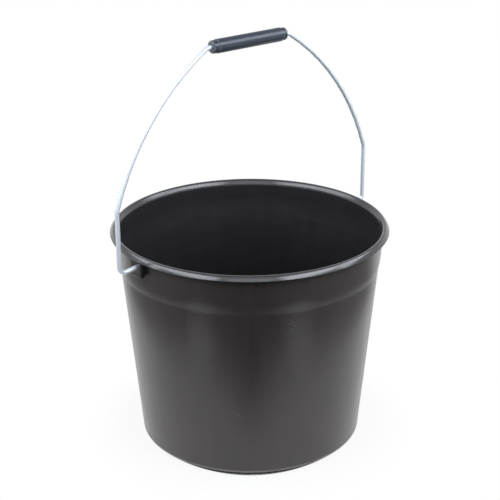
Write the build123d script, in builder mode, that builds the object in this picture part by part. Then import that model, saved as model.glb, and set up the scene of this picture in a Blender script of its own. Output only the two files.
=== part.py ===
from build123d import *
from math import cos, radians, sin, tan
import os

# Moulded shell: a steep neck under the rim, a small shoulder, then the tapered wall, angles in degrees
rim_diameter = 310.0
shell_height = 249.0
wall = 2.2
neck_draft = 4.24
wall_draft = 5.18
shoulder_drop = 40.0
shoulder_step = 1.5
shoulder_ramp = 5.0
shoulder_blend = 6.0

# Rolled rim with a lip turned down outside the neck
rim_overhang = 6.2
rim_outer_round = 4.0
rim_flat = 0.6
lip_straight = 1.0
lip_thickness = 2.2

# Floor and foot ring
floor_thickness = 2.6
floor_recess = 3.0
floor_round = 7.0
foot_width = 7.0
foot_round = 4.0

# Ears under the rim
pivot_drop = 7.0
ear_width = 17.0
ear_plate = 2.2
ear_skirt = 11.0
ear_setback = 0.4
ear_edge_round = 1.2
ear_corner_round = 5.2
ear_wall_gap = 0.8
ear_lip_overlap = 1.2

# Wire bail
wire_diameter = 5.0
bail_height = 217.0
leg_gap = 19.5
top_bend_angle = 32.0
top_bend_radius = 15.0
kink_angle = 18.5
kink_radius = 15.0
hook_radius = 7.0
hook_rise = 8.0
wire_end_chamfer = 0.5

# Hand grip
grip_length = 100.0
grip_diameter = 15.0
grip_neck_diameter = 13.8
grip_neck_length = 6.5
grip_end_chamfer = 0.8

# Clearances
hole_play = 1.5
tail_clearance = 1.2
grip_play = 0.6
grip_end_gap = 0.65

# Radii and levels that follow from the sizes above
wire_radius = wire_diameter / 2
neck_slope = tan(radians(neck_draft))
wall_slope = tan(radians(wall_draft))
rim_under = shell_height - lip_thickness
lip_bottom = shell_height - rim_outer_round - lip_straight
pivot_height = lip_bottom - pivot_drop
shoulder_height = lip_bottom - shoulder_drop
ramp_top = shoulder_height + shoulder_ramp
floor_top = floor_recess + floor_thickness
rim_radius = rim_diameter / 2
neck_radius = rim_radius - rim_overhang
ramp_radius = neck_radius - neck_slope * (rim_under - ramp_top)
shoulder_radius = ramp_radius - shoulder_step
base_radius = shoulder_radius - wall_slope * shoulder_height


def neck_outer(z):
    """Outer radius of the wall above the shoulder at height z."""
    return ramp_radius + neck_slope * (z - ramp_top)


# Shell: two ears first, then the turned wall, floor and rim that join them
ear_face = rim_radius - ear_setback
ear_back = ear_face - ear_plate
ear_bottom = pivot_height - ear_skirt
ear_top = lip_bottom + ear_lip_overlap
ear_root_top = rim_under + lip_thickness / 2
ear_root_low = pivot_height + wire_radius
ear_corner_x = neck_outer(ear_bottom) + ear_wall_gap
ear_outline = [
    (ear_face, ear_top),
    (ear_face, ear_bottom),
    (ear_corner_x, ear_bottom),
    (neck_outer(ear_root_low) - wall / 2, ear_root_low),
    (neck_outer(ear_root_top) - wall / 2, ear_root_top),
    (ear_back, ear_root_top),
    (ear_back, ear_top),
]
ear_corner = min(ear_corner_round, ear_face - ear_corner_x - ear_edge_round)
ear_rounds = [0, ear_edge_round, ear_corner, 0, 0, 0, 0]

rim_inner_radius = neck_outer(shell_height) - wall
rim_inner_round = rim_radius - rim_inner_radius - rim_outer_round - rim_flat
shell_outline = [
    (0, floor_recess),
    (base_radius - foot_width, floor_recess),
    (base_radius - foot_width, 0),
    (base_radius, 0),
    (shoulder_radius, shoulder_height),
    (ramp_radius, ramp_top),
    (neck_radius, rim_under),
    (rim_radius - lip_thickness, rim_under),
    (rim_radius - lip_thickness, lip_bottom),
    (rim_radius, lip_bottom),
    (rim_radius, shell_height),
    (rim_inner_radius, shell_height),
    (ramp_radius - wall, ramp_top),
    (shoulder_radius - wall, shoulder_height),
    (base_radius + wall_slope * floor_top - wall, floor_top),
    (0, floor_top),
]
shell_rounds = [
    0,
    0,
    0,
    foot_round,
    shoulder_blend,
    shoulder_blend,
    0,
    0,
    0,
    0,
    rim_outer_round,
    rim_inner_round,
    0,
    0,
    floor_round,
    0,
]

with BuildPart() as bucket_shell:
    with BuildSketch(Plane.XZ):
        with BuildLine():
            FilletPolyline(*ear_outline, radius=ear_rounds, close=True)
        make_face()
    extrude(amount=ear_width / 2, both=True)
    fillet(bucket_shell.edges().filter_by(Axis.Z).group_by(Axis.X)[-1], ear_edge_round)
    with BuildSketch(Plane.XY.offset(ear_bottom)):
        with Locations((ear_back, 0)):
            Rectangle(
                2 * ear_plate + 2 * (ear_back - neck_outer(ear_bottom)),
                ear_width - 2 * ear_plate,
                align=(Align.MAX, Align.CENTER),
            )
    extrude(amount=shell_height - ear_bottom, mode=Mode.SUBTRACT)
    with BuildSketch(Plane.YZ.offset(ear_back)):
        with Locations((0, pivot_height)):
            Circle((wire_diameter + hole_play) / 2)
    extrude(amount=ear_plate, mode=Mode.SUBTRACT)
    mirror(about=Plane.YZ)
    with BuildSketch(Plane.XZ):
        with BuildLine():
            FilletPolyline(*shell_outline, radius=shell_rounds, close=True)
        make_face()
    revolve(axis=Axis.Z)

# Bail: one bent wire, drawn from the middle of the top down to a hook, then mirrored
drop = radians(top_bend_angle)
kink = radians(kink_angle)
rise = radians(hook_rise)
top_height = pivot_height + bail_height
top_half = grip_length / 2 + grip_end_gap
leg_x = rim_radius + leg_gap
bow_reach = leg_x - top_half - top_bend_radius * sin(drop) - kink_radius * (1 - cos(kink))
bow_radius = bow_reach / (cos(kink) - sin(drop))
hook_end_x = leg_x - hook_radius * (1 + sin(rise))
plate_middle = ear_face - ear_plate / 2
hook_start_z = pivot_height + hook_radius * cos(rise) - (hook_end_x - plate_middle) * tan(rise)
tail_end_x = neck_outer(pivot_height) + tail_clearance + wire_radius * sin(rise)
tail_length = (hook_end_x - tail_end_x) / cos(rise)

with BuildPart() as bail_wire:
    with BuildLine(Plane.XZ) as bail_path:
        top = Line((0, top_height), (top_half, top_height))
        top_bend = JernArc(top @ 1, top % 1, top_bend_radius, -top_bend_angle)
        bow = JernArc(top_bend @ 1, top_bend % 1, bow_radius, top_bend_angle + kink_angle - 90)
        leg_kink = JernArc(bow @ 1, bow % 1, kink_radius, -kink_angle)
        leg = Line(leg_kink @ 1, (leg_x, hook_start_z))
        hook = JernArc(leg @ 1, leg % 1, hook_radius, -90 - hook_rise)
        PolarLine(hook @ 1, tail_length, direction=hook % 1)
        mirror(about=Plane.YZ)
    bail_centre_line = bail_path.wires()[0]
    with BuildSketch(Plane(origin=bail_centre_line @ 0, z_dir=bail_centre_line % 0)):
        Circle(wire_radius)
    sweep(path=bail_centre_line)
    chamfer(bail_wire.faces().filter_by(GeomType.PLANE).edges(), wire_end_chamfer)

# Grip: a plain sleeve with a shorter neck at each end, free to turn on the wire
grip_half = grip_length / 2
grip_radius = grip_diameter / 2
neck_end_radius = grip_neck_diameter / 2
bore_radius = (wire_diameter + grip_play) / 2
grip_body_half = grip_half - grip_neck_length
grip_outline = [
    (-grip_half, bore_radius),
    (-grip_half, neck_end_radius),
    (-grip_body_half, neck_end_radius),
    (-grip_body_half, grip_radius),
    (grip_body_half, grip_radius),
    (grip_body_half, neck_end_radius),
    (grip_half, neck_end_radius),
    (grip_half, bore_radius),
]

with BuildPart() as hand_grip:
    with BuildSketch(Plane.XZ.shift_origin((0, 0, top_height))):
        with BuildLine():
            Polyline(*grip_outline, close=True)
        make_face()
    revolve(axis=Axis((0, 0, top_height), (1, 0, 0)))
    grip_ends = hand_grip.faces().group_by(Axis.X)
    chamfer(grip_ends[0].edges() + grip_ends[-1].edges(), grip_end_chamfer)

bucket_shell.part.label = "bucket_shell"
bail_wire.part.label = "bail_wire"
hand_grip.part.label = "hand_grip"
os.makedirs("parts", exist_ok=True)
export_step(bucket_shell.part, "parts/bucket_shell.step")
export_step(bail_wire.part, "parts/bail_wire.step")
export_step(hand_grip.part, "parts/hand_grip.step")
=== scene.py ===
# %% [markdown]
# # A builders bucket
#
# The object is a black plastic bucket with a bent wire bail and a short plastic tube to hold it by.
# Its solids were drawn first, at real size, and come in here as a fixed frame in metres.
# Each visible piece below is made again as a finer mesh in the place of its solid.
# There it gets its finish, and it moves with the same body.

# %% Load the solids
import math

import bmesh
import bpy
from mathutils import Matrix, Vector


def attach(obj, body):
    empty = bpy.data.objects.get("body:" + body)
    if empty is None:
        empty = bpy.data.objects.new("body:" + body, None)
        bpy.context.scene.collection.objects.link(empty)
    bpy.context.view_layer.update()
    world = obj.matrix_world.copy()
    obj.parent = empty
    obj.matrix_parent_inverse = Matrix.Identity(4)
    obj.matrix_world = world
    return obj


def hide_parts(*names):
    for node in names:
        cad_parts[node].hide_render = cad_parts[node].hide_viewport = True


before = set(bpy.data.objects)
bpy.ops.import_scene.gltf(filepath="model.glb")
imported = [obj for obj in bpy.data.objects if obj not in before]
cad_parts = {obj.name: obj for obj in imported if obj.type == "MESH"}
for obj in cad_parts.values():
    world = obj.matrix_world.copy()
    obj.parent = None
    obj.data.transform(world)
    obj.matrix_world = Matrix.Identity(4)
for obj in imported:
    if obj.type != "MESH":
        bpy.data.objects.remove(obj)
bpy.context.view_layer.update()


print("solids:", sorted(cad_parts))

# %% [markdown]
# ## Where the camera looks from
#
# The mouth of the bucket is a true circle.
# How flat it looks in a picture tells how far above it the camera stood.
# How much narrower the foot looks than the rim tells how close it was.
# A long lens from 1.4 metres fits both, and a roll of a third of a degree levels the rim.
# We could aim the camera with a constraint, but three axes written out keep the roll.

# %% Find the camera's three axes
view_turn, view_rise, view_roll = math.radians(-39.5), math.radians(22.12), -0.0055
to_camera = Vector((
    math.sin(view_turn) * math.cos(view_rise),
    -math.cos(view_turn) * math.cos(view_rise),
    math.sin(view_rise),
))
level_right = Vector((math.cos(view_turn), math.sin(view_turn), 0))
rolled_up = to_camera.cross(level_right) * math.sin(view_roll)
picture_right = level_right * math.cos(view_roll) + rolled_up
picture_up = to_camera.cross(picture_right)
print("towards the camera:", [round(c, 3) for c in to_camera])

# %% [markdown]
# ## The camera
#
# The three axes are the columns of a matrix.
# A matrix says where a thing stands and how it is turned.
# Setting it once is safer than moving and turning in steps, and nothing can drift later.
# The soft boxes are hung with the same helper further down.

# %% Stand the camera where the picture was taken
straight_up = Vector((0, 0, 1))
view_distance, aim_height, aim_aside = 1.4036, 0.216, 0.00027
lens_length, film_width = 90, 36


def standing(place, right, up, back):
    return Matrix.Translation(place) @ Matrix((right, up, back)).transposed().to_4x4()


camera_at = aim_height * straight_up + aim_aside * picture_right + view_distance * to_camera
lens = bpy.data.cameras.new("picture_lens")
lens.lens, lens.sensor_width = lens_length, film_width
camera = bpy.data.objects.new("picture_camera", lens)
camera.matrix_world = standing(camera_at, picture_right, picture_up, to_camera)
bpy.context.scene.collection.objects.link(camera)
bpy.context.scene.camera = camera
print("camera at", [round(c, 3) for c in camera.matrix_world.translation], "m")

# %% [markdown]
# ## Outlines with rounded corners
#
# A moulded shell and a tube grip are both turned shapes: one outline, spun about an axis.
# We write an outline as its sharp corners in millimetres, each with the radius that the mould gives it.
# A Bevel modifier could round the corners later, but not each by a radius of its own.
# So one helper turns a corner into a short arc, and the next one puts points on the straight runs.
# On a run, one point lies close to each end and holds the shading.
# Without it a long flat wall would look bent near its rounded edges.

# %% Helper: the arc of a rounded corner
arc_step_degrees, arc_step_mm = 9, 3


def corner_arc(before, corner, after, radius):
    back, ahead = (before - corner).normalized(), (after - corner).normalized()
    opening = back.angle(ahead)
    bend = math.pi - opening
    centre = corner + (back + ahead).normalized() * radius / math.sin(opening / 2)
    start = corner + back * radius / math.tan(opening / 2) - centre
    side = 1 if back.cross(ahead) < 0 else -1
    by_angle, by_length = math.degrees(bend) / arc_step_degrees, radius * bend / arc_step_mm
    steps = max(2, math.ceil(by_angle), math.ceil(by_length))
    turns = [Matrix.Rotation(side * bend * k / steps, 2) for k in range(steps + 1)]
    return [centre + turn @ start for turn in turns]


square_arc = corner_arc(Vector((0, 0)), Vector((30, 0)), Vector((30, 30)), 10)
print("a square corner with a radius of 10 mm gets", len(square_arc), "points")

# %% Helper: an outline from its corners
longest_step, shortest_run, run_hold = 9.0, 0.2, 0.5


def run_points(begin, end, longest):
    length = (end - begin).length
    if length <= shortest_run:
        return []
    hold = min(run_hold, length / 4)
    steps = max(1, math.ceil((length - 2 * hold) / longest))
    distances = [hold + (length - 2 * hold) * k / steps for k in range(steps + 1)]
    return [begin.lerp(end, distance / length) for distance in distances]


def rounded_outline(corners, longest=longest_step):
    places = [Vector(corner[:2]) for corner in corners]
    line = [places[0]]
    for i in range(1, len(corners)):
        radius = corners[i][2]
        arc = corner_arc(*places[i - 1:i + 2], radius) if radius else [places[i]]
        line += run_points(line[-1], arc[0], longest) + arc
    return line


plain_run = run_points(Vector((0, 0)), Vector((100, 0)), longest_step)
print("a straight run of 100 mm gets", len(plain_run), "points between its ends")

# %% [markdown]
# ## Turning an outline
#
# On a lathe the work turns and the tool stands still; here the outline goes round the axis.
# A Screw modifier does the same, but the spin of bmesh gives a finished mesh at once.
# A point on the axis comes out once for every step, so points in one place are merged.

# %% Helper: spin an outline into a closed mesh
same_place = 1e-7


def spin(outline, steps, across, along, centre=Vector((0, 0, 0))):
    shape = bmesh.new()
    places = [centre + (across * p.x + along * p.y) / 1000 for p in outline]
    dots = [shape.verts.new(place) for place in places]
    lines = [shape.edges.new(pair) for pair in zip(dots, dots[1:])]
    bmesh.ops.spin(
        shape, geom=dots + lines, cent=centre, axis=along,
        angle=2 * math.pi, steps=steps, use_merge=True,
    )
    bmesh.ops.remove_doubles(shape, verts=shape.verts, dist=same_place)
    bmesh.ops.recalc_face_normals(shape, faces=shape.faces)
    return shape


print("points closer than", same_place, "m are merged")

# %% [markdown]
# ## The wall of the shell
#
# The wall leans out by about five degrees, so that a stack of buckets comes apart and the mould lets go.
# Forty millimetres below the lip it steps out by a millimetre and a half to a steeper neck.
# That is as far as it sinks into the next bucket.
# We could read radii off a drawing, but two short functions give them at any height.
# So every later corner, ear and hook meets the wall exactly.

# %% Set out the wall and the neck
rim_radius, rim_under, rim_overhang = 155.0, 246.8, 6.2
ramp_top, shoulder, shoulder_step = 209.0, 204.0, 1.5
neck_slope, wall_slope = math.tan(math.radians(4.24)), math.tan(math.radians(5.18))
ramp_radius = rim_radius - rim_overhang - neck_slope * (rim_under - ramp_top)
base_radius = ramp_radius - shoulder_step - wall_slope * shoulder


def neck_radius(height):
    return ramp_radius + neck_slope * (height - ramp_top)


def wall_radius(height):
    return base_radius + wall_slope * height


print("across the wall at the ground:", round(2 * base_radius, 1), "mm")

# %% [markdown]
# ## The floor, the foot and the step
#
# The floor sits three millimetres up inside a foot ring, so the bucket doesn't rock on a rough board.
# Outside, the ring slopes back from the wall, so from most sides it hides behind the wall's lower edge.
# The step has a tighter bend at its foot and a wide one at its top.
# So the plastic shows one soft line of light and no hard crease.
# The shape could be pushed and pulled by hand, but a plain list of corners keeps every radius in sight.

# %% Corners of the outside: how far out, how high, how round
floor_under, wall_edge, edge_inset = 3.0, 4.6, 0.3
ring_inside, ring_outside = base_radius - 7.0, base_radius - 5.5
step_foot, step_top = 202.0, 212.3

floor_and_foot = [
    (0, floor_under, 0),
    (ring_inside, floor_under, 1.5),
    (ring_inside, 0, 0.6),
    (ring_outside, 0, 1.2),
    (wall_radius(wall_edge) - edge_inset, wall_edge, 1.2),
]
outer_step = [
    (wall_radius(step_foot), step_foot, 24.0),
    (neck_radius(step_top), step_top, 95.0),
]
print("across the foot ring:", round(2 * ring_outside, 1), "mm")

# %% [markdown]
# ## The rolled rim
#
# The rim is rolled outward for stiffness.
# It has a lip that turns down, a sloping band outside, a narrow crest and a slope inside.
# One round tube along the mouth would be simpler.
# But light shows each of these faces as a line of its own.

# %% Corners of the rim, from under the lip over the crest to the inside
shell_height, lip_bottom, lip_roof = 249.0, 244.0, 245.6
rolled_rim = [
    (neck_radius(lip_roof), lip_roof, 0.7),  # where the neck meets the lip
    (rim_radius - 3.8, lip_roof, 0.7),  # the hollow inside the lip
    (rim_radius - 2.1, lip_bottom, 0.4),  # the lip's inner edge
    (rim_radius, lip_bottom, 0.25),  # the lip's outer edge
    (rim_radius, lip_bottom + 0.4, 0.4),  # the foot of the band
    (rim_radius - 1.55, lip_bottom + 2.75, 20.0),  # the band's soft fold
    (rim_radius - 3.45, shell_height, 2.8),  # the crest, outside
    (rim_radius - 6.8, shell_height, 3.0),  # the crest, inside
    (rim_radius - 10.0, shell_height - 5.4, 6.0),  # the foot of the inner slope
]
print("the rim has", len(rolled_rim), "corners")

# %% [markdown]
# ## The turned shell
#
# Inside, the wall follows the outside at its own thickness, and the step is only a faint wave.
# A Solidify modifier could give the thickness, but it would copy every bend of the outside.
# The whole list goes from under the floor, out and up the outside, over the rim and down the inside.

# %% Turn the shell
wall, inner_step_top, inner_step_foot = 2.2, 222, 200
floor_top, floor_round, shell_facets = 5.6, 7.0, 288
to_the_side = Vector((1, 0, 0))

inner_wall = [
    (neck_radius(inner_step_top) - wall, inner_step_top, 150.0),
    (wall_radius(inner_step_foot) - wall, inner_step_foot, 300.0),
    (wall_radius(floor_top) - wall, floor_top, floor_round),
    (0, floor_top, 0),
]
shell_outline = rounded_outline(floor_and_foot + outer_step + rolled_rim + inner_wall)
shell_shape = spin(shell_outline, shell_facets, to_the_side, straight_up)
print("shell outline:", len(shell_outline), "points, shell:", len(shell_shape.faces), "faces")

# %% [markdown]
# ## Blocks and cutters
#
# The ears aren't turned shapes, so they need other tools: a block drawn from the side, and cutters.
# Modelling the hollow and the hole face by face is possible, but booleans are the short way here.
# A narrow bevel then gives the soft edges of a moulding.
# The modifiers are applied at once, because the ears become one mesh with the shell.

# %% Helpers: a block from its side outline, and a loose object
def prism(outline, half_width, side):
    shape = bmesh.new()
    near, far = (
        [shape.verts.new((side * x / 1000, y / 1000, z / 1000)) for x, z in outline]
        for y in (-half_width, half_width)
    )
    shape.faces.new(near)
    shape.faces.new(far[::-1])
    for i in range(len(outline)):
        shape.faces.new((near[i - 1], near[i], far[i], far[i - 1]))
    bmesh.ops.recalc_face_normals(shape, faces=shape.faces)
    return shape


def loose_object(name, shape):
    mesh = bpy.data.meshes.new(name)
    shape.to_mesh(mesh)
    shape.free()
    thing = bpy.data.objects.new(name, mesh)
    bpy.context.scene.collection.objects.link(thing)
    return thing


trial_block = prism([(0, 0), (10, 0), (10, 10), (0, 10)], 5, 1)
print("a trial block has", len(trial_block.faces), "faces")
trial_block.free()

# %% Helper: cut a block and soften its edges
ear_edge, ear_edge_steps, soft_from = 0.55, 3, math.radians(35)


def cut_and_soften(block, tools):
    for tool in tools:
        cut = block.modifiers.new("cut", "BOOLEAN")
        cut.operation, cut.solver, cut.object = "DIFFERENCE", "EXACT", tool
    soft = block.modifiers.new("soft_edges", "BEVEL")
    soft.width, soft.segments = ear_edge / 1000, ear_edge_steps
    soft.limit_method, soft.angle_limit = "ANGLE", soft_from
    shaped = block.evaluated_get(bpy.context.evaluated_depsgraph_get())
    done = bpy.data.meshes.new_from_object(shaped)
    for thing in [block, *tools]:
        bpy.data.objects.remove(thing)
    return done


print("ear edges are softened by", ear_edge, "mm")

# %% [markdown]
# ## The two ears
#
# The bail hangs in two small ears moulded under the rim.
# Each is a plate in line with the rim, with a cheek on either side that runs back to the wall.
# The plate has the hole for the wire.
# The space behind it is open below, so the mould can be pulled straight down.
# So an ear is a block with the ear's side outline, minus the space inside, minus the hole.
# The outline ends inside the wall and the rim, so no gap shows where they meet.

# %% Set out an ear from the side
pivot_height, ear_skirt, ear_setback, ear_plate, ear_gap = 237.0, 11.0, 0.4, 2.2, 0.8
ear_face, ear_bottom = rim_radius - ear_setback, pivot_height - ear_skirt
ear_back, ear_top = ear_face - ear_plate, 245.1
root_low, root_high = 239.5, 244.3
edge_round, corner_round, one_step = 1.2, 5.2, 100

ear_side = rounded_outline([
    (ear_face, ear_top, 0),  # up inside the band of the rim
    (ear_face, ear_bottom, edge_round),  # the plate's lower edge
    (neck_radius(ear_bottom) + ear_gap, ear_bottom, corner_round),  # the cheek's lower corner
    (neck_radius(root_low) - wall / 2, root_low, 0),  # into the middle of the wall
    (neck_radius(root_high) - wall / 2, root_high, 0),  # up inside the wall
    (149.4, 246.4, 0),  # under the crest of the rim, inside
    (ear_back + 0.8, 246.3, 0),  # under the crest of the rim, outside
], longest=one_step)
print("ear outline:", len(ear_side), "points")

# %% Cut the ears and join them to the shell
ear_half_width, ear_cheek = 8.5, 2.2
hollow_low, hollow_high, hollow_inner = 215, 246.9, 140
hole_radius, hole_facets, drill_length = 3.25, 48, 10
hollow_side = [
    (ear_back, hollow_low), (ear_back, hollow_high),
    (hollow_inner, hollow_high), (hollow_inner, hollow_low),
]
lying = Matrix.Rotation(math.pi / 2, 4, "Y")
for side in (1, -1):
    block = loose_object("ear_block", prism(ear_side, ear_half_width, side))
    hollow = loose_object("ear_hollow", prism(hollow_side, ear_half_width - ear_cheek, side))
    at_hole = Matrix.Translation((side * ear_face / 1000, 0, pivot_height / 1000))
    drill = bmesh.new()
    bmesh.ops.create_cone(
        drill, cap_ends=True, segments=hole_facets, depth=drill_length / 1000,
        radius1=hole_radius / 1000, radius2=hole_radius / 1000, matrix=at_hole @ lying,
    )
    ear = cut_and_soften(block, [hollow, loose_object("ear_drill", drill)])
    shell_shape.from_mesh(ear)
    print("ear at", "+X" if side > 0 else "-X", "has", len(ear.polygons), "faces")
    bpy.data.meshes.remove(ear)

# %% [markdown]
# ## Pieces that move with their bodies
#
# The solids stay in the file for weight and collision, but what we look at are the finer meshes.
# One small function links a mesh and shades it smoothly.
# It also puts the piece on its body and hides the solid that it stands for.
# Edges sharper than forty degrees stay crisp, which keeps the ears from looking inflated.

# %% Helper: make a piece, then the shell
crisp_from = math.radians(40)


def make_piece(name, shape, body, solid):
    piece = loose_object(name, shape)
    piece.data.shade_smooth()
    piece.data.set_sharp_from_angle(angle=crisp_from)
    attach(piece, body)
    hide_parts(solid)
    print(name, "rides on", body, "with", len(piece.data.polygons), "faces")
    return piece


shell = make_piece("moulded_shell", shell_shape, "shell", "bucket_shell")

# %% [markdown]
# ## The wire bail
#
# The bail is one length of five millimetre wire, bent in a jig.
# It has a straight top for the grip, two long bows, a kink above the rim on either side,
# straight legs, and a hook at each end.
# The bends are known, so what is left to find are the lengths between them.
# They follow from where the legs stand and how high the top is, and a little trigonometry gives them.

# %% Find the lengths between the bends
bail_height, top_half, leg_gap = 217.0, 50.65, 19.5
top_bend, top_bend_radius, kink, kink_radius = 32.0, 15.0, 18.5, 15.0
bail_top, leg_at = pivot_height + bail_height, rim_radius + leg_gap


def sin_deg(degrees):
    return math.sin(math.radians(degrees))


def cos_deg(degrees):
    return math.cos(math.radians(degrees))


bow_reach = leg_at - top_half - top_bend_radius * sin_deg(top_bend)
bow_reach -= kink_radius * (1 - cos_deg(kink))
bow_radius = bow_reach / (cos_deg(kink) - sin_deg(top_bend))
leg_top = bail_top - top_bend_radius * (1 - cos_deg(top_bend))
leg_top -= bow_radius * (cos_deg(top_bend) - sin_deg(kink))
leg_top -= kink_radius * sin_deg(kink)
print("bow radius:", round(bow_radius, 1), "mm, legs start at", round(leg_top, 1), "mm")

# %% [markdown]
# ## The hooks
#
# Each hook goes through the hole of its ear and rises a little inwards, so the bail can't slip out.
# Its height is set so that the wire crosses the middle of the plate at the pivot.
# The tail stops just short of the wall: a longer one would scrape it when the bail swings.
# Hooks could be placed by eye, but one that misses its hole by a millimetre shows at once.

# %% Find where the hooks start and end
wire_radius, hook_radius, hook_rise, tail_clearance = 2.5, 7.0, 8.0, 1.2
hook_end = leg_at - hook_radius * (1 + sin_deg(hook_rise))
plate_middle = ear_face - ear_plate / 2
tail_drop = (hook_end - plate_middle) * math.tan(math.radians(hook_rise))
hook_start = pivot_height + hook_radius * cos_deg(hook_rise) - tail_drop
tail_end = neck_radius(pivot_height) + tail_clearance + wire_radius * sin_deg(hook_rise)
tail = (hook_end - tail_end) / cos_deg(hook_rise)
print("hooks start at", round(hook_start, 1), "mm, tails are", round(tail, 1), "mm long")

# %% [markdown]
# ## The line of the wire
#
# A free curve would wobble between its points, so we walk along the wire as the bending machine does.
# That is forward so much, then round a bend of this radius by that angle.
# Only half is walked, from the middle of the top to the end of a hook.
# The other half is its mirror image.

# %% Walk along the wire
walk_degrees, walk_length = 4, 6
wire_walk = [  # a length without a turn, or a radius with a turn in degrees
    (top_half, 0),
    (top_bend_radius, top_bend),
    (bow_radius, 90 - kink - top_bend),
    (kink_radius, kink),
    (leg_top - hook_start, 0),
    (hook_radius, 90 + hook_rise),
    (tail, 0),
]
spot, heading = Vector((0, bail_top)), 0.0
half_wire = [(spot, heading)]
for length, turn in wire_walk:
    steps = math.ceil(turn / walk_degrees if turn else length / walk_length)
    chord = 2 * length * sin_deg(turn / steps / 2) if turn else length / steps
    for _ in range(steps):
        heading -= turn / steps / 2
        spot = spot + chord * Vector((cos_deg(heading), sin_deg(heading)))
        heading -= turn / steps / 2
        half_wire.append((spot, heading))
print("half of the wire:", len(half_wire), "points, ends at", [round(c, 1) for c in spot], "mm")

# %% [markdown]
# ## Stations along the wire
#
# A skin needs to know at every point where it is, which way it heads, how thick it is and how far along.
# A curve object keeps most of that to itself, and the finish needs the distance along the wire.
# The last stations shrink, because cut wire ends are deburred, not razor sharp.

# %% List the stations
deburr = ((0.0, 0.5), (0.15, 0.2), (0.5, 0.0))  # in from the end, off the radius

wire_line = [(Vector((-p.x, p.y)), -h) for p, h in reversed(half_wire[1:])] + half_wire
stations, travelled = [], 0.0
for i, (place, heading) in enumerate(wire_line):
    travelled += (place - wire_line[i - 1][0]).length if i else 0
    stations.append((place, heading, wire_radius, travelled))


def moved(station, forward, radius):
    place, heading, _, distance = station
    ahead = Vector((cos_deg(heading), sin_deg(heading)))
    return place + forward * ahead, heading, radius, distance + forward


first, final = stations[0], stations[-1]
stations[:1] = [moved(first, inward, wire_radius - off) for inward, off in deburr]
stations[-1:] = [moved(final, -inward, wire_radius - off) for inward, off in reversed(deburr)]
print("wire length:", round(travelled), "mm,", len(stations), "stations")

# %% [markdown]
# ## The skin of the wire
#
# A curve object with a bevel would also make a tube.
# A mesh of rings lets us keep the distance along the wire as a UV map.
# The finish reads it: drawing leaves fine lines that follow the wire round every bend.

# %% Put a ring of points round every station
wire_sides = 28
wire_shape = bmesh.new()
wire_map = wire_shape.loops.layers.uv.new("along_wire")
ring_angles = [360 * k / wire_sides for k in range(wire_sides)]
wire_rings = []
for place, heading, radius, _ in stations:
    centre = Vector((place.x, 0, place.y))
    outward, across = Vector((-sin_deg(heading), 0, cos_deg(heading))), Vector((0, 1, 0))
    spokes = [cos_deg(angle) * outward + sin_deg(angle) * across for angle in ring_angles]
    wire_rings.append([wire_shape.verts.new((centre + radius * s) / 1000) for s in spokes])
print(len(wire_rings), "rings of", wire_sides, "points")

# %% Join the rings and close the ends
girth = 2 * math.pi * wire_radius
for i in range(len(stations) - 1):
    ring, ahead = wire_rings[i], wire_rings[i + 1]
    here, there = stations[i][3], stations[i + 1][3]
    for k in range(wire_sides):
        after = (k + 1) % wire_sides
        face = wire_shape.faces.new((ring[k], ring[after], ahead[after], ahead[k]))
        corners = ((here, k), (here, k + 1), (there, k + 1), (there, k))
        for loop, (distance, around) in zip(face.loops, corners):
            loop[wire_map].uv = distance / 1000, around / wire_sides * girth / 1000
wire_shape.faces.new(wire_rings[0][::-1])
wire_shape.faces.new(wire_rings[-1])
bmesh.ops.recalc_face_normals(wire_shape, faces=wire_shape.faces)
bail = make_piece("bent_bail", wire_shape, "bail", "bail_wire")

# %% [markdown]
# ## The grip
#
# A plain plastic tube, threaded on the wire before it is bent, so it can turn but never come off.
# Its ends are turned down a little, and the bore is a loose fit on the wire.
# Two cylinders, one cut from the other, would leave hard edges that no hand has ever rubbed.
# So it is one more outline, spun this time about the wire, and one half is the mirror of the other.

# %% Turn the grip
grip_half, grip_radius, grip_facets = 50.0, 7.5, 96
end_length, end_radius, bore_radius = 6.5, 6.9, 2.8
body_half = grip_half - end_length

half_grip = [  # how far out, how far along, how round
    (bore_radius, grip_half, 0.6),
    (end_radius, grip_half, 1.9),
    (end_radius, body_half, 0.02),
    (grip_radius, body_half, 0.58),
]
other_half = [(out, -along, rounding) for out, along, rounding in reversed(half_grip)]
in_bore = (bore_radius, 0, 0)
grip_outline = rounded_outline([in_bore, *half_grip, *other_half, in_bore])
grip_middle = Vector((0, 0, bail_top / 1000))
grip_shape = spin(grip_outline, grip_facets, straight_up, to_the_side, grip_middle)
grip = make_piece("tube_grip", grip_shape, "grip", "hand_grip")

# %% [markdown]
# ## Words for building a finish
#
# A finish in Blender is a graph of nodes, and graphs for worn plastic and metal use the same few steps.
# They could be wired by hand in the node editor.
# Steps with short names are easier to read and to change.
# The first ones add a node and do sums with numbers and with places.

# %% Helpers: nodes and sums
def empty_tree(owner):
    owner.use_nodes = True
    owner.node_tree.nodes.clear()
    return owner.node_tree


def add(tree, kind, sockets=None, **settings):
    node = tree.nodes.new(kind)
    for name, value in settings.items():
        setattr(node, name, value)
    for name, value in (sockets or {}).items():
        if isinstance(value, bpy.types.NodeSocket):
            tree.links.new(value, node.inputs[name])
        else:
            node.inputs[name].default_value = value
    return node


def maths(tree, operation, one, two=0.0):
    return add(tree, "ShaderNodeMath", {0: one, 1: two}, operation=operation).outputs[0]


def place_maths(tree, operation, one, two=(0, 0, 0)):
    node = add(tree, "ShaderNodeVectorMath", {0: one, 1: two}, operation=operation)
    return node.outputs["Value" if operation in ("LENGTH", "DOT_PRODUCT") else "Vector"]


node_kinds = [kind for kind in dir(bpy.types) if kind.startswith("ShaderNode")]
print("there are", len(node_kinds), "kinds of shader node to choose from")

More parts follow.
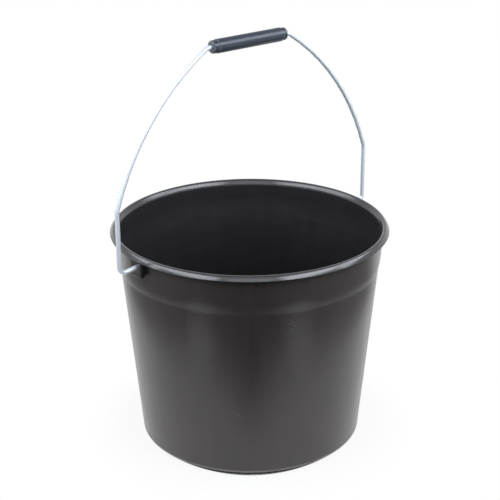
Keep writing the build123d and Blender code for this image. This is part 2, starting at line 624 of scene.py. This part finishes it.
# %% [markdown]
# ## Masks
#
# A mask is a number from 0 to 1 that says where a mark is.
# Clouds are noise of a size in millimetres, and a band turns a range of values into a mask.
# Masks are multiplied where all of them must hold, and the larger one counts where any of them will do.
# Painted pictures could hold the marks too, but they go soft close up, and numbers never do.
# Most masks read object coordinates, which are metres on the piece itself.
# So the marks stay put when a piece moves.

# %% Helpers: masks
def clouds(tree, where, size_mm, detail, stretch=(1, 1, 1)):
    scaled = place_maths(tree, "MULTIPLY", where, [1000 / size_mm / s for s in stretch])
    sockets = {"Vector": scaled, "Scale": 1.0, "Detail": detail}
    return add(tree, "ShaderNodeTexNoise", sockets).outputs[0]


def band(tree, value, low, high, to_low=0.0, to_high=1.0):
    sockets = {0: value, 1: low, 2: high, 3: to_low, 4: to_high}
    return add(tree, "ShaderNodeMapRange", sockets, interpolation_type="SMOOTHSTEP").outputs[0]


def band_mm(tree, metres, low, high, to_low=0.0, to_high=1.0):
    return band(tree, metres, low / 1000, high / 1000, to_low, to_high)


def all_of(tree, mask, *others):
    for other in others:
        mask = maths(tree, "MULTIPLY", mask, other)
    return mask


def any_of(tree, mask, *others):
    for other in others:
        mask = maths(tree, "MAXIMUM", mask, other)
    return mask


def reaches_from(tree, where, centre_mm, reach_mm):
    away = place_maths(tree, "SUBTRACT", where, [c / 1000 for c in centre_mm])
    in_reaches = place_maths(tree, "MULTIPLY", away, [1000 / r for r in reach_mm])
    return place_maths(tree, "LENGTH", in_reaches)


print("clouds of 7 mm come", round(1000 / 7), "times in a metre")

# %% [markdown]
# ## Colour, relief and a new finish
#
# Blend mixes two colours by a mask, and bump makes light fall as if the surface had a relief.
# Real relief of a hundredth of a millimetre would need millions of faces, so bump is the better way.
# A new finish starts with one principled surface and with the place on the piece.

# %% Helpers: colours, relief and an empty finish
def blend(tree, mask, one, two):
    one, two = ((*c, 1) if isinstance(c, tuple) else c for c in (one, two))
    return add(tree, "ShaderNodeMix", {0: mask, 6: one, 7: two}, data_type="RGBA").outputs[2]


def bump(tree, height, depth_mm, under=None, share=1.0):
    sockets = {"Height": height, "Distance": depth_mm / 1000, "Strength": share}
    if under is not None:
        sockets["Normal"] = under
    return add(tree, "ShaderNodeBump", sockets).outputs[0]


def new_finish(name):
    finish = bpy.data.materials.new(name)
    tree = empty_tree(finish)
    surface = add(tree, "ShaderNodeBsdfPrincipled")
    add(tree, "ShaderNodeOutputMaterial", {"Surface": surface.outputs[0]})
    where = add(tree, "ShaderNodeTexCoord").outputs["Object"]
    print(name, "starts with", len(tree.nodes), "nodes")
    return finish, tree, surface, where


print("waiting for a finish:", [piece.name for piece in (shell, bail, grip)])

# %% [markdown]
# ## The shell's finish: places
#
# Black recycled plastic wears differently on its rim, inside and outside, and carries painted shade
# beside the ears.
# Each could be a material of its own, but then every border would be a hard line between faces.
# So one finish finds its places by height and by distance from the axis.
# A surface in the middle of the wall's thickness parts inside from outside.

# %% Find the places on the shell
ear_reach = (math.inf, 15.5, 12.0)  # any distance along the pivot, then across and up

shell_finish, tree, surface, where = new_finish("satin_black_plastic")
height = add(tree, "ShaderNodeSeparateXYZ", {"Vector": where}).outputs["Z"]
from_axis = place_maths(tree, "LENGTH", place_maths(tree, "MULTIPLY", where, (1, 1, 0)))
past_wall = maths(tree, "SUBTRACT", from_axis, maths(tree, "MULTIPLY", height, wall_slope))
inside = band_mm(tree, past_wall, base_radius - 0.8, base_radius - 1.0)
outside = band(tree, inside, 1.0, 0.0)
on_rim = band_mm(tree, height, lip_bottom - 1.5, lip_bottom + 0.5)
# Beside each ear the neck and the cheeks get painted shade, standing in for the cheek's shade and its
# dark reflection in the wall.
by_ear = band(tree, reaches_from(tree, where, (0, 0, pivot_height), ear_reach), 1.10, 0.80)
behind_plate = band_mm(tree, from_axis, ear_face - 0.3, ear_face - 0.8)
beside_ear_painted_shade = all_of(tree, by_ear, behind_plate, outside)
print("places on the shell:", len(tree.nodes), "nodes")

# %% [markdown]
# ## The shell's finish: flow, dust and scratches
#
# The mould leaves slow waves from uneven cooling, faint streaks where the melt flowed, and a fine grain.
# Use adds smears of dust, mostly low down, and faint rings inside.
# Buckets are carried in stacks, so most scratches run up and down, and a few knocks run across.
# A photographed texture could hold them, but it would show where it repeats.
# So all of them are clouds, stretched the way that the real marks run.

# %% Flow, dust and scratches
grain = clouds(tree, where, 0.55, 2)
waves = clouds(tree, where, 70, 1)
streaks = clouds(tree, where, 7, 3, (1, 1, 14))
smears = clouds(tree, where, 26, 4, (1, 1, 2.2))
inner_rings = clouds(tree, where, 9, 4, (7, 7, 1))
stack_scratches = band(tree, clouds(tree, where, 0.8, 1, (1, 1, 30)), 0.69, 0.82)
knocks = band(tree, clouds(tree, where, 0.8, 1, (14, 14, 1)), 0.70, 0.82)
patchy = band(tree, clouds(tree, where, 34, 2), 0.46, 0.66)
scratches = all_of(tree, any_of(tree, stack_scratches, knocks), patchy)
low_down = band_mm(tree, height, 160, 20, 0.18, 1.0)
dust = all_of(tree, band(tree, smears, 0.30, 0.72, 0.25, 1.0), low_down)
print("with flow, dust and scratches:", len(tree.nodes), "nodes")

# %% [markdown]
# ## The shell's finish: rubbed places and a painted highlight
#
# Two rubbed spots come from being dragged and knocked, and a pale line round the foot is a painted
# highlight.
# The crest of the rim is rubbed a little all round.
# A spot is a soft ball around a place on the wall, broken up by specks.
# The line is a band of height at the wall's lower edge.
# They could be painted by hand, but a place and a reach in millimetres are easier to move.

# %% Rubbed places, and a painted highlight at the foot
def rubbed_spot(tree, where, centre_mm, reach_mm, speck_mm, stretch):
    near = band(tree, reaches_from(tree, where, centre_mm, reach_mm), 1.0, 0.1)
    specks = band(tree, clouds(tree, where, speck_mm, 4, stretch), 0.50, 0.72)
    return all_of(tree, near, specks)


shoulder_rub = rubbed_spot(
    tree, where, centre_mm=(-53.5, -132.6, 186), reach_mm=(11, 11, 19),
    speck_mm=1.9, stretch=(3, 3, 1),
)
wall_rub = rubbed_spot(
    tree, where, centre_mm=(-93.5, -95.1, 78), reach_mm=(11, 11, 5),
    speck_mm=2.2, stretch=(1.5, 1.5, 1),
)
on_crest = band_mm(tree, height, shell_height - 1.0, shell_height)
crest_specks = band(tree, clouds(tree, where, 6.0, 3), 0.54, 0.80, 0.0, 0.45)
rubs = any_of(tree, shoulder_rub, wall_rub, all_of(tree, on_crest, crest_specks))
# Painted highlight: a pale line along the wall's lower edge, where that edge catches the light.
up_to_edge = band_mm(tree, height, wall_edge + 3.0, wall_edge + 0.8)
down_to_edge = band_mm(tree, height, wall_edge - 1.6, wall_edge - 0.2)
foot_highlight_specks = band(tree, clouds(tree, where, 4.0, 3, (5, 5, 1)), 0.25, 0.60, 0.35, 1.0)
foot_painted_highlight = all_of(tree, up_to_edge, foot_highlight_specks, down_to_edge)
print("with rubbed places:", len(tree.nodes), "nodes")

# %% [markdown]
# ## The shell's finish: colour
#
# The plastic is a warm black outside, paler where dust sticks.
# The neck under the lip and the corners beside the ears get painted shade, darker than the wall.
# Inside, painted light makes it paler towards the mouth and painted shade darker deep down, with faint
# rings of wear.
# One flat black would look like a hole in the picture.
# So layers are blended from the bottom up, as on the real one: black first, then wear, then marks.

# %% Colours of the shell
wall_black, dusty_black = (0.0280, 0.0232, 0.0212), (0.0385, 0.0320, 0.0293)
under_lip_shade_black, ear_shade_black = (0.0085, 0.0075, 0.0072), (0.0060, 0.0056, 0.0054)
deep_black, lit_and_worn_black = (0.0120, 0.0115, 0.0134), (0.0270, 0.0260, 0.0296)
scratch_grey, rub_grey = (0.075, 0.072, 0.070), (0.095, 0.093, 0.090)
foot_highlight_grey = (0.225, 0.207, 0.192)

outer_black = blend(tree, dust, wall_black, dusty_black)
# Painted shade under the lip, where the lip's shadow falls on the neck.
under_lip_painted_shade = band_mm(tree, height, lip_bottom - 10.5, lip_bottom - 1.0)
outer_black = blend(tree, under_lip_painted_shade, outer_black, under_lip_shade_black)
# Painted shade beside the ears.
outer_black = blend(tree, beside_ear_painted_shade, outer_black, ear_shade_black)
# Painted light inside: paler towards the mouth, darker deep down; the rings on top of it are wear.
painted_light_towards_mouth = band_mm(tree, height, 100, 236, 0.15, 1.0)
painted_light_and_wear_inside = all_of(tree, painted_light_towards_mouth, band(tree, inner_rings, 0.30, 0.72, 0.75, 1.25))
inner_black = blend(tree, painted_light_and_wear_inside, deep_black, lit_and_worn_black)
colour = blend(tree, any_of(tree, inside, on_rim), outer_black, inner_black)
marks = ((scratches, 0.25, scratch_grey), (rubs, 0.75, rub_grey), (foot_painted_highlight, 0.9, foot_highlight_grey))
for mask, share, grey in marks:
    colour = blend(tree, maths(tree, "MULTIPLY", mask, share), colour, grey)
tree.links.new(colour, surface.inputs["Base Color"])
print("with colour:", len(tree.nodes), "nodes")

# %% [markdown]
# ## The shell's finish: gloss and relief
#
# Plastic straight from the mould is satin: it mirrors a white floor softly, and brightly near its edges.
# Hands polish the rim, so it is glossier than the wall, and its relief is rubbed away.
# Gloss reads the same masks as colour, so each mark is a little paler and rougher at once.
# A thin coat, smoother than the plastic, stands for its moulded skin.
# It lights up where the wall turns away from us, which more gloss all over would not do.

# %% Gloss and relief of the shell
satin, dull_satin = 0.285, 0.335
roughness = band(tree, streaks, 0.3, 0.7, satin, dull_satin)
rougher = (  # where, and by how much
    (any_of(tree, dust, inside), 0.06), (on_rim, -0.13),
    (beside_ear_painted_shade, 0.12), (any_of(tree, rubs, scratches), 0.12),
)
for mask, more in rougher:
    roughness = maths(tree, "ADD", roughness, maths(tree, "MULTIPLY", mask, more))
tree.links.new(roughness, surface.inputs["Roughness"])
off_rim = band(tree, on_rim, 1.0, 0.0, 0.15, 1.0)
relief = None
for form, depth_mm in ((waves, 0.5), (streaks, 0.012), (grain, 0.003)):
    relief = bump(tree, form, depth_mm, relief, off_rim)
tree.links.new(relief, surface.inputs["Normal"])
surface.inputs["IOR"].default_value = 1.5
surface.inputs["Coat Weight"].default_value = 0.32
surface.inputs["Coat Roughness"].default_value = 0.15
shell.data.materials.append(shell_finish)
print("shell finish:", len(tree.nodes), "nodes")

# %% [markdown]
# ## The finish of the wire
#
# Galvanised wire is steel under a skin of zinc: pale and slightly blue.
# The skin is made of small flakes where the zinc froze: smoother grey ones and rougher pale ones.
# The drawing die leaves fine lines along the wire, and weather dulls the skin in patches.
# A full metal would turn into a dark mirror in parts.
# Old zinc has a chalky film that scatters light, so the shader is only partly metallic.
# The flakes come from a pattern of cells in object space.
# The lines read the UV map, stretched along the wire.

# %% Zinc on drawn wire
grey_zinc, pale_zinc, tarnished = (0.74, 0.79, 0.85), (0.78, 0.83, 0.89), (0.67, 0.71, 0.76)
flakes_per_metre, grey_roughness, pale_roughness = 1500.0, 0.46, 0.52

wire_finish, tree, surface, where = new_finish("galvanised_zinc")
along = add(tree, "ShaderNodeUVMap", uv_map="along_wire").outputs[0]
drawn = clouds(tree, along, 0.35, 2, (120, 1, 1))
cells = add(tree, "ShaderNodeTexVoronoi", {"Vector": where, "Scale": flakes_per_metre})
flake = add(tree, "ShaderNodeSeparateColor", {"Color": cells.outputs["Color"]}).outputs[0]
tarnish = clouds(tree, where, 22, 4)
zinc = blend(tree, flake, grey_zinc, pale_zinc)
zinc = blend(tree, band(tree, tarnish, 0.48, 0.72, 0.0, 0.40), zinc, tarnished)
tree.links.new(zinc, surface.inputs["Base Color"])
flake_roughness = band(tree, flake, 0.0, 1.0, grey_roughness, pale_roughness)
roughness = maths(tree, "ADD", flake_roughness, band(tree, tarnish, 0.45, 0.75, 0.0, 0.08))
tree.links.new(roughness, surface.inputs["Roughness"])
relief = None
for form, depth_mm in ((tarnish, 0.006), (drawn, 0.0005)):
    relief = bump(tree, form, depth_mm, relief)
tree.links.new(relief, surface.inputs["Normal"])
surface.inputs["Metallic"].default_value = 0.7
bail.data.materials.append(wire_finish)
print("wire finish:", len(tree.nodes), "nodes")

# %% [markdown]
# ## The finish of the grip: marks
#
# The tube is another plastic than the shell: a shade duller, and a touch bluer where it shines.
# The die that it comes out of leaves lines along it, and fingers leave shiny and dull patches.
# Hooks and nails leave short nicks across it, and its edges get a painted highlight in pale grey.
# A UV map could carry the lines, as on the wire.
# But they run straight along the X axis, so object coordinates stretched in X are enough.

# %% Marks on the grip
grip_finish, tree, surface, where = new_finish("handled_grip_plastic")
lines = clouds(tree, where, 0.8, 2, (40, 1, 1))
handled = clouds(tree, where, 9, 2, (2.5, 1, 1))
nicks = band(tree, clouds(tree, where, 0.7, 2, (1, 5, 5)), 0.70, 0.78)
along = add(tree, "ShaderNodeSeparateXYZ", {"Vector": where}).outputs["X"]
from_middle = maths(tree, "ABSOLUTE", along)
# The pale edges on the steps and the ends are a painted highlight.
before_step = band_mm(tree, from_middle, body_half - 1.1, body_half - 0.5)
past_step = band_mm(tree, from_middle, body_half + 0.5, body_half + 0.1)
on_end = band_mm(tree, from_middle, grip_half - 1.6, grip_half - 0.8)
on_edge = any_of(tree, all_of(tree, before_step, past_step), on_end)
edge_painted_highlight = all_of(tree, on_edge, band(tree, handled, 0.35, 0.55, 0.4, 1.0))
print("marks on the grip:", len(tree.nodes), "nodes")

# %% [markdown]
# ## The finish of the grip: colour, gloss and relief
#
# The marks are laid on as on the shell: patches first, then the painted highlight on the edges, then the
# nicks.
# A bluer colour alone wouldn't show on black, so the mirrored light is tinted too.

# %% Handled black plastic
fresh_black, handled_black = (0.0110, 0.0180, 0.0320), (0.0165, 0.0245, 0.0410)
edge_highlight_grey, nick_grey = (0.17, 0.18, 0.195), (0.07, 0.073, 0.08)
shiny, dull, cool_shine = 0.33, 0.41, (0.86, 0.93, 1.0, 1)

tone = blend(tree, band(tree, handled, 0.4, 0.7), fresh_black, handled_black)
tone = blend(tree, maths(tree, "MULTIPLY", edge_painted_highlight, 0.6), tone, edge_highlight_grey)
tone = blend(tree, maths(tree, "MULTIPLY", nicks, 0.5), tone, nick_grey)
tree.links.new(tone, surface.inputs["Base Color"])
roughness = band(tree, handled, 0.35, 0.7, shiny, dull)
roughness = maths(tree, "ADD", roughness, maths(tree, "MULTIPLY", nicks, 0.1))
tree.links.new(roughness, surface.inputs["Roughness"])
relief = None
for form, depth_mm in ((handled, 0.008), (lines, 0.0006), (nicks, -0.002)):
    relief = bump(tree, form, depth_mm, relief)
tree.links.new(relief, surface.inputs["Normal"])
surface.inputs["IOR"].default_value = 1.62
surface.inputs["Specular Tint"].default_value = cool_shine
grip.data.materials.append(grip_finish)
print("grip finish:", len(tree.nodes), "nodes")

# %% [markdown]
# ## The floor
#
# A product picture needs a floor that is simply white.
# Yet it carries a soft shadow, or the bucket would float.
# A plain white material goes grey away from the lamps.
# A white picture behind the bucket would stay white, but could carry no shadow.
# So what the camera sees is mostly the floor's own white, and the rest is lit like any surface.
# Distances in the studio are in metres, and are measured to the front and aside, as seen in the picture.

# %% Lay the floor
floor_radius, floor_facets = 30, 96
floor_shape = bmesh.new()
bmesh.ops.create_circle(floor_shape, cap_ends=True, segments=floor_facets, radius=floor_radius)
floor = loose_object("studio_floor", floor_shape)

floor_finish = bpy.data.materials.new("white_floor")
tree = empty_tree(floor_finish)
level_front = Vector((to_camera.x, to_camera.y, 0)).normalized()
where = add(tree, "ShaderNodeTexCoord").outputs["Object"]
distance = place_maths(tree, "LENGTH", where)
front = place_maths(tree, "DOT_PRODUCT", where, level_front)
aside = maths(tree, "ABSOLUTE", place_maths(tree, "DOT_PRODUCT", where, level_right))
print("floor across:", 2 * floor_radius, "m")

# %% [markdown]
# ## The pool of light on the floor
#
# Shiny black plastic mirrors the floor.
# In a real studio the light falls in a pool there that fades towards the camera. Here that pool is
# painted into the floor's own white, so mirror rays see the same white, but fading out of that pool.
# There is a bright patch in front on either side, white behind and a little light far aside.
# The wall gets its dark middle, its two upright bands and its paler foot from that.
# Painting these bands on the wall would be wrong: they must slide over it when we walk round the bucket.

# %% Shape the pool of light
def away_from(tree, at_aside, at_front, squeeze_aside=1, squeeze_front=1):
    sideways = maths(tree, "MULTIPLY", maths(tree, "SUBTRACT", aside, at_aside), squeeze_aside)
    forward = maths(tree, "MULTIPLY", maths(tree, "SUBTRACT", front, at_front), squeeze_front)
    squares = [maths(tree, "MULTIPLY", way, way) for way in (sideways, forward)]
    return maths(tree, "SQRT", maths(tree, "ADD", *squares))


# The pool is painted into the floor's glow for mirror rays; no lamp makes it.
out_of_pool = away_from(tree, 0.13, -0.122, squeeze_aside=1.9, squeeze_front=1.15)
pool = band(tree, out_of_pool, 0.375, 0.585, 1.0, 0.02)
far_around = band(tree, out_of_pool, 1.0, 1.6)
front_patches = band(tree, away_from(tree, 0.215, 0.27), 0.12, 0.03)
behind = band(tree, front, -0.08, -0.38)
far_aside = band(tree, aside, 0.28, 0.46, 0.02, 0.28)
# Painted shadow: mirror rays see the floor dark right at the foot.
out_of_foot = band(tree, distance, 0.121, 0.131)
mirrored = any_of(tree, pool, far_around, front_patches, behind, far_aside)
mirrored = all_of(tree, mirrored, out_of_foot)
print("floor so far:", len(tree.nodes), "nodes")

# %% [markdown]
# ## The white of the floor
#
# Close to the foot ring the floor goes dark in a thin line.
# Little light gets in there, under the wall's lower edge.
# It is widest in front and behind, between the lamps of both sides.
# A lamp's own shadow would do that too, but only with a darker floor all around.
# So the floor's own white stops at the line, and is held back a little near the bucket.

# %% Mix the floor's own white with the lit floor
def rays_that_look(tree):
    rays = add(tree, "ShaderNodeLightPath").outputs
    return any_of(tree, rays["Is Camera Ray"], rays["Is Glossy Ray"], rays["Is Transmission Ray"])


widest_gap, floor_white, full_white = 0.0036, (0.9, 0.9, 0.9, 1), (1, 1, 1, 1)
gap_width = band(tree, aside, 0.085, 0.0, 0.0, widest_gap)
out_of_gap = band(tree, maths(tree, "SUBTRACT", distance, gap_width), 0.1202, 0.1216)
near_bucket = band(tree, distance, 0.126, 0.20, 0.88, 1.0)
own_white = all_of(tree, rays_that_look(tree), out_of_gap, near_bucket)
seen = any_of(tree, add(tree, "ShaderNodeLightPath").outputs["Is Camera Ray"], mirrored)
lit = add(tree, "ShaderNodeBsdfDiffuse", {"Color": floor_white}).outputs[0]
white = add(tree, "ShaderNodeEmission", {"Color": full_white, "Strength": seen}).outputs[0]
mixed = add(tree, "ShaderNodeMixShader", {0: own_white, 1: lit, 2: white}).outputs[0]
add(tree, "ShaderNodeOutputMaterial", {"Surface": mixed})
floor.data.materials.append(floor_finish)
print("floor:", len(tree.nodes), "nodes")

# %% [markdown]
# ## The soft boxes
#
# Dark shiny plastic shows its surroundings more than its own colour.
# So the light is mostly a matter of what stands around it.
# Two soft boxes in front, left and right of the camera, draw the bright bands along the rim.
# Two at the sides light its ends, the wire and the grip.
# The right pair is a fifth stronger.
# A weak box in the middle keeps the front of the rim from going black.
# One sun or point lamp would be simpler, but it would leave small hard glints instead of bands.

# %% Hang the soft boxes
lamp_white, lamp_aim = (0.90, 0.935, 1.0), Vector((0, 0, 0.2))


def soft_box(name, right, front, up, wide, tall, power):
    lamp = bpy.data.lights.new(name, "AREA")
    lamp.shape, lamp.size, lamp.size_y = "RECTANGLE", wide, tall
    lamp.energy, lamp.color = power, lamp_white
    box = bpy.data.objects.new(name, lamp)
    place = level_right * right + level_front * front + straight_up * up
    away = (place - lamp_aim).normalized()
    across = straight_up.cross(away).normalized()
    box.matrix_world = standing(place, across, away.cross(across), away)
    box.visible_camera = False
    bpy.context.scene.collection.objects.link(box)
    print(name, "at", [round(c, 2) for c in place], "m,", power, "W")


for hand, side, share in (("left", -1, 1.0), ("right", 1, 1.2)):
    soft_box(
        hand + "_front_soft_box", right=side * 0.873, front=0.695, up=1.2,
        wide=0.97, tall=0.40, power=7.5 * share,
    )
    soft_box(
        hand + "_side_soft_box", right=side * 1.108, front=-0.136, up=1.05,
        wide=0.90, tall=0.56, power=7.0 * share,
    )
soft_box("front_soft_box", right=0.0, front=1.115, up=1.2, wide=0.8, tall=0.5, power=2.3)

# %% [markdown]
# ## The room
#
# The world is white at the horizon and bluish grey higher up.
# An evenly white room would be simpler, but it would wash the black out.
# What the camera and mirror rays see is bright; what falls on the pieces from it is only a weak fill.

# %% Fill the room with light
low_sky, high_sky = (1.0, 1.0, 1.0), (0.66, 0.70, 0.75)
fill_light, fill_strength = (0.94, 0.97, 1.0, 1), 0.12

world = bpy.data.worlds.new("studio")
bpy.context.scene.world = world
tree = empty_tree(world)
towards = add(tree, "ShaderNodeTexCoord").outputs["Generated"]
upward = add(tree, "ShaderNodeSeparateXYZ", {"Vector": towards}).outputs["Z"]
sky = blend(tree, band(tree, upward, 0.18, 0.45), low_sky, high_sky)
looked_at = add(tree, "ShaderNodeBackground", {"Color": sky, "Strength": 1.0}).outputs[0]
sockets = {"Color": fill_light, "Strength": fill_strength}
fill = add(tree, "ShaderNodeBackground", sockets).outputs[0]
sockets = {0: rays_that_look(tree), 1: fill, 2: looked_at}
mixed = add(tree, "ShaderNodeMixShader", sockets).outputs[0]
add(tree, "ShaderNodeOutputWorld", {"Surface": mixed})
bpy.context.scene.view_settings.view_transform = "Standard"
print("world:", len(tree.nodes), "nodes")

# %% [markdown]
# ## The end
